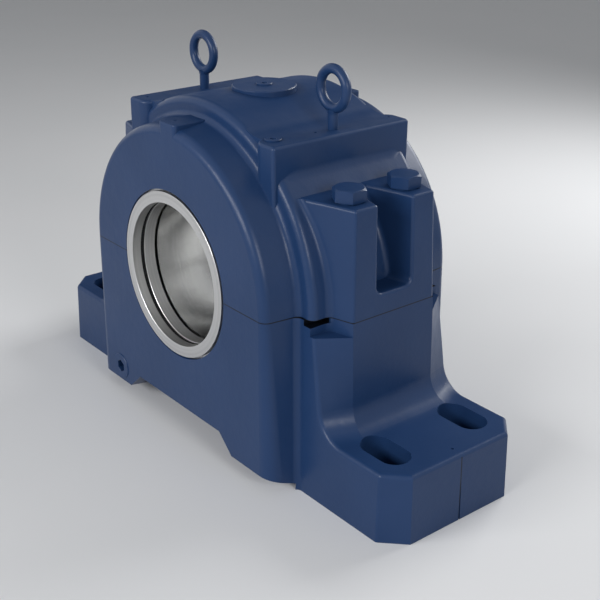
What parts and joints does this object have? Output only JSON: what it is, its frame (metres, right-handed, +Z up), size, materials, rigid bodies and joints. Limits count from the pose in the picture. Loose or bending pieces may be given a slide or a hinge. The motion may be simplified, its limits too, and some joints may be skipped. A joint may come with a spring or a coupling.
{
  "type": "split plummer block",
  "caption": "Large split bearing housing on slotted feet, with a bolted cap, lifting eyebolts, labyrinth rings and a self-aligning roller bearing on a tapered sleeve.",
  "frame": {"origin": "centre of the base on the underside of the feet", "axes": "+X along the base, +Y along the shaft away from the seal face seen in the picture, +Z up"},
  "size_m": [0.64, 0.2546, 0.4264],
  "materials": {
    "blue_paint": "satin",
    "bright_steel": "brushed",
    "bearing_steel": "ground",
    "cage_brass": "machined",
    "black_rubber": "matt"
  },
  "bodies": {
    "housing": {"housing_base": "blue_paint", "housing_cap": "blue_paint", "cap_bolts": "blue_paint", "dowel_pins": "bearing_steel", "eyebolts": "blue_paint", "top_plug": "blue_paint", "pad_plug": "blue_paint", "drain_plug": "blue_paint", "outer_ring": "bearing_steel", "locating_ring_front": "bearing_steel", "locating_ring_back": "bearing_steel"},
    "swivel": {"guide_ring": "bearing_steel"},
    "rotor": {"inner_ring": "bearing_steel", "adapter_sleeve": "bright_steel", "lock_nut": "bearing_steel", "lock_washer": "bearing_steel", "labyrinth_ring_front": "bright_steel", "labyrinth_ring_back": "bright_steel", "seal_cord_front": "black_rubber", "seal_cord_back": "black_rubber"},
    "roller_set": {"rollers_front": "bearing_steel", "rollers_back": "bearing_steel", "cage_front": "cage_brass", "cage_back": "cage_brass"}
  },
  "joints": [
    {"name": "self_align", "type": "hinge", "parent": "housing", "child": "swivel", "pos_m": [0, 0, 0.195], "axis": [1, 0, 0], "range_deg": [-0.3, 0.3]},
    {"name": "shaft_spin", "type": "hinge", "parent": "swivel", "child": "rotor", "pos_m": [0, 0, 0.195], "axis": [0, 1, 0], "continuous": true},
    {"name": "cage_spin", "type": "hinge", "parent": "swivel", "child": "roller_set", "pos_m": [0, 0, 0.195], "axis": [0, 1, 0], "continuous": true}
  ],
  "couplings": [
    {"joint": "cage_spin", "follows": "shaft_spin", "ratio": 0.424}
  ]
}
